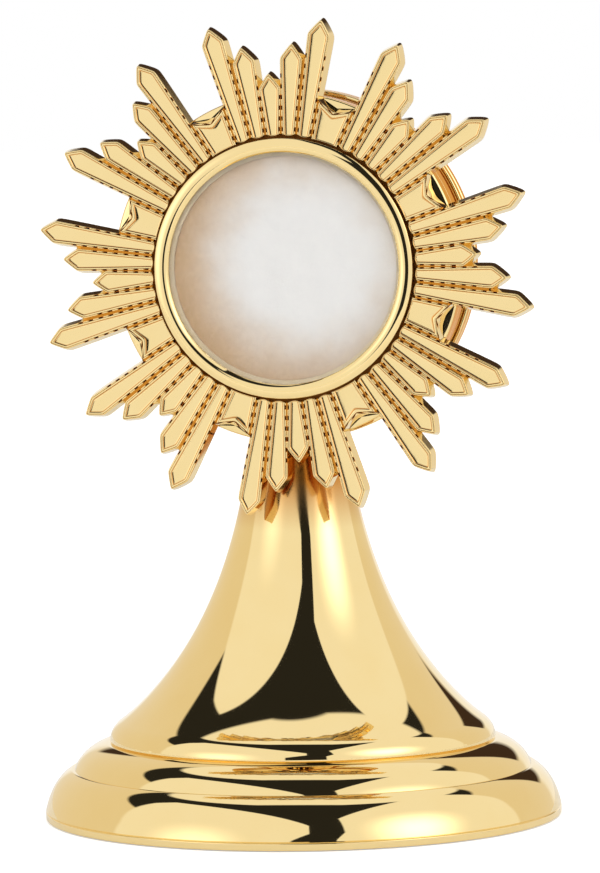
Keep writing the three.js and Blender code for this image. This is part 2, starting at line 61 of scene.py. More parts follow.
def makeCamera(c):
    azimuth, pan = math.radians(c["azimuth"]), math.radians(c["pan"])
    tilt, roll = math.radians(c["tilt"]), math.radians(c["roll"])
    place = Vector((math.sin(azimuth), -math.cos(azimuth), 0)) * c["distance"] * mm
    place.z = c["height"] * mm
    level = Vector((-math.sin(azimuth + pan), math.cos(azimuth + pan), 0))
    ahead = level * math.cos(tilt) + Vector((0, 0, math.sin(tilt)))
    right = ahead.cross(Vector((0, 0, 1))).normalized()
    up = right.cross(ahead)
    rolledRight = right * math.cos(roll) + up * math.sin(roll)
    rolledUp = up * math.cos(roll) - right * math.sin(roll)
    data = bpy.data.cameras.new("camera")
    data.sensor_width = c["sensor"]
    data.lens = c["focalPixels"] * c["sensor"] / c["framePixels"]
    data.clip_start, data.clip_end = 0.01, 50
    made = bpy.data.objects.new("camera", data)
    turn = Matrix((rolledRight, rolledUp, -ahead)).transposed().to_4x4()
    made.matrix_world = Matrix.Translation(place) @ turn
    scene.collection.objects.link(made)
    scene.camera = made


makeCamera(camera)
print("camera stands", camera["distance"], "mm away")


# sRGB hex to linear colour
def colour(code):
    parts = [int(code[i:i + 2], 16) / 255 for i in (1, 3, 5)]
    return [p / 12.92 if p <= 0.04045 else ((p + 0.055) / 1.055) ** 2.4 for p in parts] + [1]


# Adds a node with its settings. An input is a value, a socket, or a node whose first output it takes.
def addNode(tree, kind, inputs=None, **settings):
    node = tree.nodes.new("ShaderNode" + kind)
    for key, value in settings.items():
        setattr(node, key, value)
    for key, value in (inputs or {}).items():
        if isinstance(value, bpy.types.Node):
            value = value.outputs[0]
        if isinstance(value, bpy.types.NodeSocket):
            tree.links.new(value, node.inputs[key])
        else:
            node.inputs[key].default_value = value
    return node


# Starts a material without nodes, and returns it and its tree
def newMaterial(name):
    material = bpy.data.materials.new(name)
    material.use_nodes = True
    material.node_tree.nodes.clear()
    return material, material.node_tree


# Mesh object from grids of points (rows, columns, 3) in mm. Columns wrap round, and rows too where
# wrap says so. A fourth number per point becomes the attribute recess, by which the gold is painted
# amber and brown as light and shade.
# Points that fall together, at a pole or along a spine, are merged, and faces are turned outwards.
def meshFromGrids(name, grids, sharpAngle=32, wrap=True):
    points, faces, start = [], [], 0
    for grid in grids:
        rows, columns = grid.shape[:2]
        index = start + np.arange(rows * columns).reshape(rows, columns)
        if wrap:
            index = np.vstack([index, index[:1]])
        index = np.hstack([index, index[:, :1]])
        quads = [index[:-1, :-1], index[:-1, 1:], index[1:, 1:], index[1:, :-1]]
        faces.append(np.stack(quads, -1).reshape(-1, 4))
        points.append(grid.reshape(rows * columns, -1))
        start += rows * columns
    points, faces = np.vstack(points), np.vstack(faces)
    mesh = bpy.data.meshes.new(name)
    mesh.vertices.add(len(points))
    mesh.vertices.foreach_set("co", (points[:, :3] * mm).ravel())
    mesh.loops.add(faces.size)
    mesh.loops.foreach_set("vertex_index", faces.ravel())
    mesh.polygons.add(len(faces))
    mesh.polygons.foreach_set("loop_start", np.arange(0, faces.size, 4))
    mesh.update(calc_edges=True)
    if points.shape[1] == 4:
        mesh.attributes.new("recess", "FLOAT", "POINT").data.foreach_set("value", points[:, 3])
    merged = bmesh.new()
    merged.from_mesh(mesh)
    bmesh.ops.remove_doubles(merged, verts=merged.verts, dist=0.0005 * mm)
    bmesh.ops.dissolve_degenerate(merged, edges=merged.edges, dist=0.0001 * mm)
    bmesh.ops.recalc_face_normals(merged, faces=merged.faces)
    merged.to_mesh(mesh)
    merged.free()
    mesh.validate()
    mesh.shade_smooth()
    mesh.set_sharp_from_angle(angle=math.radians(sharpAngle))
    made = bpy.data.objects.new(name, mesh)
    scene.collection.objects.link(made)
    return made


# Closed profile from corners (radius, height, round): each corner gives way to a quadratic curve
# that leaves both edges at its round, or at 0.3 of the shorter edge where that is less, with one
# more point before and after to keep the flats flat
def roundedProfile(corners, steps=6):
    corners = np.array(corners, float)
    place, size = corners[:, :2], corners[:, 2:3]
    before, after = np.roll(place, 1, 0) - place, np.roll(place, -1, 0) - place
    longBefore = np.linalg.norm(before, axis=1, keepdims=True)
    longAfter = np.linalg.norm(after, axis=1, keepdims=True)
    reach = np.minimum(size, 0.3 * np.minimum(longBefore, longAfter))
    before, after = before / longBefore * reach, after / longAfter * reach
    t = np.linspace(0, 1, steps)[None, :, None]
    curve = (1 - t) ** 2 * (place + before)[:, None] + 2 * t * (1 - t) * place[:, None]
    curve = curve + t ** 2 * (place + after)[:, None]
    path = np.concatenate([(place + 1.5 * before)[:, None], curve, (place + 1.5 * after)[:, None]], 1)
    path = path.reshape(-1, 2)
    return path[np.linalg.norm(path - np.roll(path, 1, 0), axis=1) > 1e-5]


# Points of a quadratic curve as corners without a round
def bent(start, pull, end, count):
    start, pull, end = (np.array(point, float) for point in (start, pull, end))
    t = np.linspace(0, 1, count)[:, None]
    path = (1 - t) ** 2 * start + 2 * t * (1 - t) * pull + t ** 2 * end
    return [(radius, height, 0) for radius, height in path]


# A profile turned about the upright axis: x = r sin a, y = -r cos a, z = h
def turnedUpright(profile, segments=256):
    a = np.linspace(0, 2 * np.pi, segments, endpoint=False)[None]
    r, h = profile[:, :1], profile[:, 1:]
    return np.stack([r * np.sin(a), -r * np.cos(a), h + 0 * a], -1)


# A profile turned about the head's axis, whose height counts forwards: x = r cos a, y = -h, z up
def turnedForward(profile, segments=256):
    a = np.linspace(0, 2 * np.pi, segments, endpoint=False)[None]
    r, h = profile[:, :1], profile[:, 1:]
    return np.stack([r * np.cos(a), -h + 0 * a, headZ + r * np.sin(a)], -1)


# A grid with the recess of each of its rows as fourth number: painted light and shade for the gold
def withPaintedLight(grid, recess):
    column = np.broadcast_to(np.reshape(recess, (-1, 1, 1)), grid.shape[:2] + (1,))
    return np.concatenate([grid, column], -1)


# Polished gold plate over brass: a mirror with a warm cast, which the eye reads from its
# reflections. The plating's tone varies in clouds 6 mm wide, and hand polishing leaves hairlines
# 0.3 mm apart and a skin whose waves are peel mm wide. The attribute recess paints light and shade
# into grooves, milgrain, seams, the sunburst's back and the neck: it turns the gold amber, a painted
# warm reflection, then brown, a painted shade, and dulls it. The case and the cap turn amber where
# they are seen at a low angle, which edge gives. Lacquer is a guessed cause.
gold = {
    "tones": ("#F6DEA4", "#F4D99A"), "cloud": 6.0, "amber": "#C98436", "amberAt": 0.45,
    "brown": "#3A180A", "brownAt": 0.9, "dulling": 0.45, "hairline": 0.3, "peelStrength": 0.25,
    "peelDepth": 0.01,
}


def makeGold(name, g, roughness, peel, edge="#FFFFFF"):
    material, tree = newMaterial(name)
    place = addNode(tree, "TexCoord").outputs["Object"]
    light, deep = (colour(code) for code in g["tones"])
    cloud = addNode(tree, "TexNoise", {
        "Vector": place, "Scale": 1 / (g["cloud"] * mm), "Detail": 2.0})
    tone = addNode(tree, "MixRGB", {"Fac": cloud, "Color1": light, "Color2": deep})
    # recess paints the gold amber, as reflected light, then brown, as shade
    recess = addNode(tree, "Attribute", attribute_name="recess").outputs["Fac"]
    amber = addNode(tree, "MapRange", {"Value": recess, "From Min": 0.0, "From Max": g["amberAt"]})
    brown = addNode(tree, "MapRange", {
        "Value": recess, "From Min": g["amberAt"], "From Max": g["brownAt"]})
    tone = addNode(tree, "MixRGB", {"Fac": amber, "Color1": tone, "Color2": colour(g["amber"])})
    tone = addNode(tree, "MixRGB", {"Fac": brown, "Color1": tone, "Color2": colour(g["brown"])})
    fine = addNode(tree, "TexNoise", {
        "Vector": place, "Scale": 1 / (g["hairline"] * mm), "Detail": 3.0})
    worn = addNode(tree, "MapRange", {
        "Value": fine, "From Min": 0.35, "From Max": 0.75,
        "To Min": roughness * 0.8, "To Max": roughness * 1.3})
    dull = addNode(tree, "Math", {0: recess, 1: g["dulling"], 2: worn}, operation="MULTIPLY_ADD")
    skin = addNode(tree, "TexNoise", {"Vector": place, "Scale": 1 / (peel * mm), "Detail": 2.0})
    bump = addNode(tree, "Bump", {
        "Height": skin, "Strength": g["peelStrength"], "Distance": g["peelDepth"] * mm})
    metal = addNode(tree, "BsdfPrincipled", {
        "Base Color": tone, "Roughness": dull, "Normal": bump, "Metallic": 1.0,
        "Specular Tint": colour(edge)})
    addNode(tree, "OutputMaterial", {"Surface": metal})
    return material


spunGold = makeGold("polished gold plate, spun", gold, 0.035, 9.0)
castGold = makeGold("polished gold plate, cast", gold, 0.07, 1.2)
turnedGold = makeGold("polished gold plate, turned and lacquered", gold, 0.045, 5.0, edge="#DC9A10")
print("gold plate ready")


# The base, one spun shell: two rounded steps, the bell's rounded edge, and a flare. The flare's
# radius is a core plus two terms, each of which falls by e in every length of height: the long one
# makes the bell, and the short one splays its foot. The neck is painted amber upwards, on to the
# saddle: a painted reflection of the sunburst above it. The neck turns amber upwards, on to the
# saddle: a guess at its tone, which reflections may explain as well.
base = {
    "lip": (0.2, 1.3), "line": 0.3, "lipLine": 0.18,
    "foot": ((40.8, 1.6), (36.6, 8.0)), "step": ((36.2, 8.0), (31.0, 12.2)),
    "bellEdge": ((30.5, 12.5), (30.5, 14.24)), "flareFoot": 15.5, "flareCore": 4.67,
    "bellSpread": 23.68, "bellLength": 21.2, "footSpread": 0.39, "footLength": 1.4,
    "neckTop": 57.5, "stemHole": 3.8, "wall": 1.0, "topWall": 1.2, "underLip": 0.5,
    "paintedLight": 0.44, "paintedLightFrom": (46.0, 54.0),
}


def flareRadius(z):
    up = z - base["flareFoot"]
    long, short = np.exp(-up / base["bellLength"]), np.exp(-up / base["footLength"])
    return base["flareCore"] + base["bellSpread"] * long + base["footSpread"] * short


def makeBase(b):
    # a round that swells towards the square corner above its start
    def swelling(ends, count):
        (r0, z0), (r1, z1) = ends
        pull = (0.75 * r0 + 0.25 * r1, 0.25 * z0 + 0.75 * z1)
        return bent(ends[0], pull, ends[1], count)

    rim, low = b["foot"][0][0], b["flareFoot"]
    short = 0.6  # the flare's own points end below the rounded top edge
    z = low + (b["neckTop"] - short - low) * np.linspace(0, 1, 90)[1:] ** 1.5
    flare = [(radius, height, 0) for radius, height in zip(flareRadius(z), z)]
    under = b["neckTop"] - b["topWall"]
    z = np.linspace(under - b["wall"], low, 24)
    inner = [(r - b["wall"], height - b["wall"], 0) for r, height in zip(flareRadius(z), z)]
    inside = [(r - b["wall"], h - b["wall"], 0) for r, h, size in reversed(
        swelling(b["foot"], 12) + swelling(b["step"], 12))
        if h - b["wall"] > b["lip"][0] + b["underLip"]]
    profile = roundedProfile([
        (rim - b["wall"], b["lip"][0], 0.1), (rim, b["lip"][0], 0.25), (rim, b["lip"][1], 0.12),
        (rim - b["lipLine"], b["lip"][1] + b["line"] / 2, 0.03),
        *swelling(b["foot"], 40), *swelling(b["step"], 36),
        (b["bellEdge"][0][0] - b["line"], b["step"][1][1], 0.02),
        *bent(*b["bellEdge"], (flareRadius(low), low), 24), *flare,
        (flareRadius(b["neckTop"]), b["neckTop"], 0.25),
        (b["stemHole"], b["neckTop"], 0.1), (b["stemHole"], under, 0), *inner,
        (b["bellEdge"][0][0] - b["wall"], b["bellEdge"][0][1] - b["wall"], 0), *inside])
    # the neck's top is painted amber, a painted reflection of the sunburst above
    paintedLight = b["paintedLight"] * np.interp(profile[:, 1], b["paintedLightFrom"], (0, 1))
    made = meshFromGrids("bell_base", [withPaintedLight(turnedUpright(profile), paintedLight)])
    made.data.materials.append(spunGold)
    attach(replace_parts(made, "base_shell"), "stand")


makeBase(base)
print("base spun")


# The saddle between neck and case: the flare carried on up, its top cut to the case's round, and
# half a millimetre deeper behind for the cap
saddle = {"bottom": 57.7, "caseGap": 27.5, "capGap": 28.0, "shoulder": -3.5, "spread": 2.0,
          "stem": 3.6, "stemEnd": 48.5}


def makeSaddle(s):
    a = np.linspace(0, 2 * np.pi, 192, endpoint=False)

    def cut(r):
        x, forward = r * np.sin(a), r * np.cos(a)
        gap = np.where(forward > s["shoulder"], s["caseGap"], s["capGap"])
        return headZ - np.sqrt(gap ** 2 - x ** 2)

    rows, end, bottom, bevel, chamfer = [], s["stemEnd"], s["bottom"], 0.15, 0.2
    for r, z in ((0, end), (s["stem"] - chamfer, end), (s["stem"], end + chamfer),
                 (s["stem"], bottom), (flareRadius(bottom) - bevel, bottom),
                 (flareRadius(bottom + bevel), bottom + bevel)):
        rows.append((np.full_like(a, r), np.full_like(a, z)))
    for share in np.linspace(0, 1, 12):
        z = bottom + 2 * bevel
        rim = flareRadius(z)
        z = z + (cut(rim) - 0.1 - z) * share
        rows.append((flareRadius(z), z))
    for share in np.linspace(0.97, 0, 14):
        r = np.full_like(a, flareRadius(bottom + s["spread"]) * share)
        rows.append((r, cut(r)))
    r, z = (np.array(part) for part in zip(*rows))
    grid = np.stack([r * np.sin(a), -r * np.cos(a), z], -1)
    # the saddle is painted amber like the neck's top, as painted reflected light
    made = meshFromGrids("neck_collar", [withPaintedLight(grid, np.full(len(grid), base["paintedLight"]))])
    made.data.materials.append(spunGold)
    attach(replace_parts(made, "neck_saddle"), "stand")


makeSaddle(saddle)


# The relic case: a drawn and turned cup with a rounded front edge, a line on its face and side, a
# finger groove before the cap, and behind it the spigot that the cap pushes on to
case = {
    "radius": 27.2, "front": 9.97, "edge": 0.4, "opening": 19.6, "inner": 8.77, "bore": 24.0,
    "line": 0.3, "faceLine": 25.8, "faceFall": (24.4, 0.17), "sideLine": 5.27,
    "barrelBack": 0.37, "groove": 0.8, "shoulder": -3.43, "spigot": 25.6, "bandSeat": 25.1,
    "bandGroove": (-7.53, -5.33), "end": -8.63, "paintedLight": 0.6,
}


def makeCase(c):
    r, line = c["radius"], c["line"]
    bandBack, bandFront = c["bandGroove"]
    fallStart, fall = c["faceFall"]

    def face(radius):
        return c["front"] - fall * max(radius - fallStart, 0)

    profile = roundedProfile([
        (c["bore"], c["end"], 0.1), (c["spigot"], c["end"], 0.3), (c["spigot"], bandBack, 0.05),
        (c["bandSeat"], bandBack, 0.05), (c["bandSeat"], bandFront, 0.05),
        (c["spigot"], bandFront, 0.05),
        (c["spigot"], c["shoulder"], 0.1), (r - c["groove"], c["shoulder"], 0.15),
        (r - c["groove"], c["barrelBack"], 0.3), (r, c["barrelBack"], 0.3),
        (r, c["sideLine"] - line / 2, 0.08), (r - line, c["sideLine"], 0.04),
        (r, c["sideLine"] + line / 2, 0.08), (r, face(r), c["edge"]),
        (c["faceLine"] + line / 2, face(c["faceLine"] + line / 2), 0.06),
        (c["faceLine"], face(c["faceLine"]) - line / 2, 0.04),
        (c["faceLine"] - line / 2, face(c["faceLine"] - line / 2), 0.06),
        (fallStart, c["front"], 0.4), (c["opening"], c["front"], 0.1),
        (c["opening"], c["inner"], 0.1), (c["bore"], c["inner"], 0.3)], steps=9)
    # The groove is painted amber and brown, as shade.
    near = 0.1  # how far the groove's amber reaches past its floor
    inGroove = np.abs(profile[:, 0] - r + c["groove"]) < near
    inGroove = inGroove & (profile[:, 1] > c["shoulder"] - near)
    grid = withPaintedLight(turnedForward(profile), np.where(inGroove, c["paintedLight"], 0))
    made = meshFromGrids("relic_case", [grid])
    made.data.materials.append(turnedGold)
    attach(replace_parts(made, "capsule_body"), "stand")


makeCase(case)


# The push-on cap: a skirt with a turned channel, a rounded edge and a slightly domed end
cap = {"radius": 27.7, "bore": 26.2, "front": -3.63, "back": -10.03, "dome": 0.8, "inner": -8.93,
       "edge": 0.8, "channel": 1.4, "channelDepth": 0.3, "paintedLight": 0.75}


def makeCap(c):
    r, deep = c["radius"], c["radius"] - c["channelDepth"]
    middle, half, slant = (c["front"] + c["back"]) / 2, c["channel"] / 2, 0.2
    share = np.linspace(0, 1, 30)
    dome = [(radius, height, 0) for radius, height in zip(
        (r - c["edge"] - 0.2) * share, c["back"] - c["dome"] * (1 - share ** 2))]
    profile = roundedProfile([
        *dome, (r, c["back"], c["edge"]), (r, middle - half, 0.08),
        (deep, middle - half + slant, 0.1), (deep, middle + half - slant, 0.1),
        (r, middle + half, 0.08), (r, c["front"], 0.3),
        (c["bore"], c["front"], 0.2), (c["bore"], c["inner"], 0.3), (0, c["inner"], 0)], steps=9)
    # The channel is painted amber and brown, as shade.
    inChannel = (np.abs(profile[:, 0] - deep) < 0.1) & (np.abs(profile[:, 1] - middle) < half)
    grid = withPaintedLight(turnedForward(profile), np.where(inChannel, c["paintedLight"], 0))
    made = meshFromGrids("push_on_cap", [grid], wrap=False)
    made.data.materials.append(turnedGold)
    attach(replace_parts(made, "rear_cap"), "rear_cap")


makeCap(cap)
print("case and cap turned")


# The bezel: a half-round ring over the glass, with the threaded tube behind it. From its crest the
# crown falls by R - sqrt(R^2 - d^2), on a tighter round inwards than outwards.
bezel = {
    "radius": 20.2, "window": 18.0, "crestAt": 19.0, "crest": 14.07, "outerRound": 2.4,
    "innerRound": 1.25, "flange": 11.57, "glassSeat": 12.92, "bore": 18.6, "tube": 19.3,
    "tubeBack": 2.92, "snap": (3.62, 4.82), "snapDepth": 0.3,
}


def makeBezel(b):
    def crown(radius):
        away = radius - b["crestAt"]
        curve = np.where(away > 0, b["outerRound"], b["innerRound"])
        return b["crest"] - curve + np.sqrt(curve ** 2 - away ** 2)

    radius = np.linspace(b["radius"] - 0.3, b["window"] + 0.2, 36)
    top = [(r, height, 0) for r, height in zip(radius, crown(radius))]
    snapBack, snapFront = b["snap"]
    profile = roundedProfile([
        (b["bore"], b["tubeBack"], 0.1), (b["tube"], b["tubeBack"], 0.2),
        (b["tube"], b["flange"], 0.05), (b["radius"], b["flange"], 0.1),
        (b["radius"], crown(b["radius"]), 0.09), *top,
        (b["window"], crown(b["window"]), 0.06), (b["window"], b["glassSeat"], 0.05),
        (b["bore"], b["glassSeat"], 0.02), (b["bore"], snapFront, 0.03),
        (b["bore"] + b["snapDepth"], snapFront, 0.03), (b["bore"] + b["snapDepth"], snapBack, 0.03),
        (b["bore"], snapBack, 0.03)])
    made = meshFromGrids("window_bezel", [turnedForward(profile, 288)])
    made.data.materials.append(spunGold)
    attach(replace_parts(made, "bezel_ring"), "stand")


makeBezel(bezel)
print("bezel turned")


# The cast sunburst. Every arm, ray or panel, is a stack of nested outlines: from its back edge up
# the drafted wall, over a rounded bead, through a fine line, along a rim and down to the sunk,
# slightly dished field. The bead carries milgrain, dashes cut at an even pitch. Between neighbours
# lies a V-shaped web. The back, the fine lines, the field's edges, the dashes and the webs are
# painted amber and brown, as reflected light and shade.
sunburst = {
    "turn": 3.75, "clusters": 8, "pitch": 6.6, "hole": 20.65, "back": 10.17, "front": 12.97,
    "longReach": 18.1, "mediumReach": 14.05, "shortReach": 9.5, "tip": 2.2,
    "shoulderHalf": 1.57, "rootHalf": 0.87, "rootRound": 0.5, "milgrainShare": 0.74,
    "panelReach": 5.5, "panelNotch": 1.0, "panelHalf": 2.5, "panelRootHalf": 1.9, "panelRim": 2.0,
    "draft": 0.65, "panelDraft": 0.85, "fieldDepth": 0.15, "fieldDish": 0.034, "backPaintedLight": 0.3,
    "dashPitch": 1.65, "dashLength": 0.8, "dashDepth": 0.12, "dashStart": 0.9, "sampleStep": 0.15,
    "webEdge": 0.14, "webTop": 0.15, "webLean": 60, "webDepth": 1.7, "webPaintedLight": 0.1,
    "lipInner": 19.6, "lipTop": 11.37, "lipPaintedLight": 0.8,
}


# Layers of an arm: growth of the outline, height, share of the dashes' cut, recess, which paints
# light and shade into the gold, and the share of the width that is kept, which is none on the spines
# that close the back and the field
def armLayers(s):
    back, front, field, dish = s["back"], s["front"], s["front"] - s["fieldDepth"], s["fieldDish"]
    return (
        (s["draft"], back, 0, s["backPaintedLight"], 0), (s["draft"] - 0.03, back, 0, s["backPaintedLight"], 1),
        (s["draft"], back + 0.04, 0, 0.3, 1), (s["draft"] - 0.02, back + 0.16, 0, 0, 1),
        (0.23, front - 0.36, 0, 0, 1), (0.21, front - 0.24, 0, 0, 1),
        (0.18, front - 0.11, 0.6, 0, 1), (0.13, front - 0.03, 1, 0, 1), (0.06, front, 1, 0, 1),
        (-0.01, front - 0.03, 1, 0, 1), (-0.045, front - 0.1, 0.5, 0.85, 1),
        (-0.08, front - 0.03, 0, 0, 1), (-0.11, front - 0.005, 0, 0, 1), (-0.14, front, 0, 0, 1),
        (-0.23, front, 0, 0, 1), (-0.27, front - 0.01, 0, 0, 1),
        (-0.35, field + 0.03, 0, 0.5, 1), (-0.39, field, 0, 0.35, 1),
        (-0.50, field - dish * 0.6, 0, 0, 1), (-0.62, field - dish, 0, 0, 1),
        (-0.62, field - dish, 0, 0, 0))


# Half width of an arm at x, straight from root to corner
def sideHalf(s, arm, x):
    cornerX, cornerHalf, rootHalf = arm[:3]
    return rootHalf + (cornerHalf - rootHalf) * (x - s["hole"]) / (cornerX - s["hole"])


# Half outline of an arm grown by grow, from the root's middle to the end's middle, with the way
# run along it. A ray starts in a quarter ellipse, follows the lower of side and facet, softly
# joined, where facet = tan(lean) sqrt((apex - x)^2 - blunt^2), and so ends in a blunted point. A
# panel starts on the hole's round, and its end is the notch x = end + rise (sqrt(y^2 + q^2) - q).
def halfOutline(s, arm, grow):
    cornerX, cornerHalf, rootHalf, endX = arm
    inset, spread = max(-grow, 0), max(grow, 0)
    start = s["hole"] - 0.1 + 0.35 * inset
    turn = np.linspace(0, 1, 9) * np.pi / 2
    count = int((cornerX - s["hole"]) / s["sampleStep"])
    if endX > cornerX:
        bend = max(s["rootRound"] - inset, 0.12)
        joint = cornerX - 0.5
        lean = math.atan2(cornerHalf, endX - cornerX)
        apex, blunt = endX + grow / math.sin(lean), 0.15 + 0.8 * spread
        side = np.linspace(start + bend, joint, count)[1:]
        toTip = np.sin(np.linspace(0, 1, 17)[1:] * np.pi / 2)
        x = np.concatenate([side, joint + (apex - blunt - joint) * toTip])
        facet = math.tan(lean) * np.sqrt(np.maximum((apex - x) ** 2 - blunt ** 2, 0))
        side = sideHalf(s, arm, x) + grow
        soft = 0.05 + 0.2 * spread
        y = np.maximum((side + facet) / 2 - np.sqrt((side - facet) ** 2 / 4 + soft ** 2), 0)
        y[-1] = 0
        rootX = start + bend * (1 - np.cos(turn))
        rootY = np.sin(turn) * (sideHalf(s, arm, start + bend) + grow)
        return np.append(rootX, x), np.append(rootY, y), np.append(rootX, x) - s["hole"]
    growEnd = grow * (s["panelDraft"] / s["draft"] if grow > 0 else s["panelRim"])
    rootY = turn / turn[-1] * (rootHalf + grow)
    rootX = np.sqrt(start ** 2 - rootY ** 2)
    corner = cornerX + growEnd
    sideX = np.linspace(rootX[-1], corner, count)[1:]
    half = sideHalf(s, arm, corner) + grow
    endY = half * np.linspace(1, 0, 17)[1:]
    q = 0.25 + 1.2 * spread
    rise = (cornerX - endX) / (math.sqrt(half ** 2 + q ** 2) - q)
    endPath = endX + growEnd + rise * (np.sqrt(endY ** 2 + q ** 2) - q)
    x = np.concatenate([rootX, sideX, endPath])
    y = np.concatenate([rootY, sideHalf(s, arm, sideX) + grow, endY])
    run = np.concatenate([rootX, sideX, corner + half - endY]) - s["hole"]
    return x, y, run


# One arm in its own frame (out, across, forward), with the recess as fourth number. A dash is cut
# where the way is within half a dash's length of a whole number of pitches, with sloping ends.
def makeArm(s, arm, dashEnd):
    rows = []
    for grow, height, cut, recess, width in armLayers(s):
        x, y, run = halfOutline(s, arm, grow)
        if not width:
            x = np.minimum(x, x[-1])
        phase = (run - s["dashStart"]) / s["dashPitch"]
        swing = np.abs(phase - np.round(phase)) * s["dashPitch"] / (s["dashLength"] / 2)
        dash = cut * np.clip(2.5 * (1 - swing), 0, 1)
        dash = dash * np.clip((dashEnd - run) / 0.5, 0, 1) * (run > s["dashStart"] - 0.5)
        height = height - s["dashDepth"] * dash
        # each dash also raises the recess, so it is painted brown as shade
        half = np.stack([x, y * width, height, np.maximum(recess, dash)], -1)
        rows.append(np.vstack([half * (1, -1, 1, 1), half[::-1]]))
    return np.stack(rows)


# The web between a low and a high neighbour, in the frame midway between them. Its top edges follow
# their sides, and its floor lies in the middle, deeper by tan(lean) times half its width.
def makeWeb(s, low, high, apart, end):
    turn = math.radians(apart / 2)
    x = np.linspace(s["hole"] + 0.2, end, 30)
    top, bottom = s["front"] - s["webTop"], s["front"] - s["webDepth"]
    (lowX, lowY), (highX, highY) = (
        (x * math.cos(turn) + half * math.sin(turn), x * math.sin(turn) - half * math.cos(turn))
        for half in (sideHalf(s, arm, x) + s["webEdge"] for arm in (low, high)))
    middleX, middleY = (lowX + highX) / 2, (highY - lowY) / 2
    floor = top - math.tan(math.radians(s["webLean"])) * (lowY + highY) / 2
    ring = [(lowX, -lowY, top), (middleX, middleY, floor), (highX, highY, top),
            (highX, highY, bottom), (lowX, -lowY, bottom)]
    # the web is painted a little amber, as reflected light
    ring = [np.stack(np.broadcast_arrays(a, b, c, s["webPaintedLight"]), -1) for a, b, c in ring]
    grid = np.stack(ring, 1)
    first, last = grid[0].mean(0), grid[-1].mean(0) + (0.5, 0, 0, 0)
    return np.concatenate([np.tile(first, (1, 5, 1)), grid, np.tile(last, (1, 5, 1))])


# A grid in the frame (out, across, forward) turned by an angle about the head's axis
def placeArm(arm, degrees):
    a = math.radians(degrees)
    x = arm[..., 0] * math.cos(a) - arm[..., 1] * math.sin(a)
    y = arm[..., 0] * math.sin(a) + arm[..., 1] * math.cos(a)
    return np.stack([x, -arm[..., 2], headZ + y, arm[..., 3]], -1)


def makeSunburst(s):
    def ray(reach):
        end = s["hole"] + reach
        return end - s["tip"], s["shoulderHalf"], s["rootHalf"], end

    long, medium, short = (ray(s[name]) for name in ("longReach", "mediumReach", "shortReach"))
    corner = s["hole"] + s["panelReach"]
    panel = corner, s["panelHalf"], s["panelRootHalf"], corner - s["panelNotch"]
    fan = (long, medium, short, medium, long)
    grids = {"long_rays": [], "medium_rays": [], "short_rays": [], "panels": [], "webs": []}
    kinds = ("long_rays", "medium_rays", "short_rays", "medium_rays", "long_rays")
    panelApart = 180 / s["clusters"] - 2 * s["pitch"]
    for cluster in range(s["clusters"]):
        centre = s["turn"] + 360 * cluster / s["clusters"]
        for order, (arm, kind) in enumerate(zip(fan, kinds)):
            dashEnd = s["milgrainShare"] * (arm[3] - s["hole"])
            turn = centre + (order - 2) * s["pitch"]
            grids[kind].append(placeArm(makeArm(s, arm, dashEnd), turn))
        for order, (low, high) in enumerate(zip(fan, fan[1:])):
            web = makeWeb(s, low, high, s["pitch"], min(low[0], high[0]) - 0.1)
            grids["webs"].append(placeArm(web, centre + (order - 1.5) * s["pitch"]))
        between = centre + 180 / s["clusters"]
        grids["panels"].append(placeArm(makeArm(s, panel, 20), between))
        for low, high, side in ((long, panel, -1), (panel, long, 1)):
            web = makeWeb(s, low, high, panelApart, corner - 0.1)
            grids["webs"].append(placeArm(web, between + side * panelApart / 2))
    hub = turnedForward(roundedProfile([
        (s["lipInner"], s["back"], 0.1), (s["hole"] + 0.4, s["back"], 0.05),
        (s["hole"] + 0.4, s["lipTop"], 0.05), (s["lipInner"], s["lipTop"], 0.1)]))
    # the lip in the seam round the bezel is painted dark brown, as shade
    grids["hub"] = [withPaintedLight(hub, np.full(len(hub), s["lipPaintedLight"]))]
    for name, parts in grids.items():
        angle = 24 if name == "webs" else 75
        made = meshFromGrids("sunburst_" + name, parts, angle, wrap=name == "hub")
        made.data.materials.append(castGold)
        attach(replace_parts(made, "sunburst_plate"), "stand")
        print(made.name, len(made.data.polygons), "faces")


makeSunburst(sunburst)


# Window glass: clear float glass with a slightly rounded edge, and the faint smears 8 mm wide that
# a cleaning cloth leaves
glass = {"radius": 18.4, "front": 12.72, "back": 11.52, "edge": 0.15, "tone": "#FEFEFD",
         "smear": 8.0, "haze": 0.04}


def makeGlass(g):
    profile = roundedProfile([
        (0, g["back"], 0), (g["radius"], g["back"], g["edge"]),
        (g["radius"], g["front"], g["edge"]), (0, g["front"], 0)])
    made = meshFromGrids("window_pane", [turnedForward(profile, 192)], wrap=False)
    material, tree = newMaterial("clear float glass")
    place = addNode(tree, "TexCoord").outputs["Object"]
    smear = addNode(tree, "TexNoise", {
        "Vector": place, "Scale": 1 / (g["smear"] * mm), "Detail": 3.0})
    haze = addNode(tree, "MapRange", {"Value": smear, "To Min": 0.0, "To Max": g["haze"]})
    clear = addNode(tree, "BsdfPrincipled", {
        "Base Color": colour(g["tone"]), "Roughness": haze, "IOR": 1.52,
        "Transmission Weight": 1.0})
    addNode(tree, "OutputMaterial", {"Surface": clear})
    made.data.materials.append(material)
    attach(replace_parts(made, "window_glass"), "stand")


makeGlass(glass)


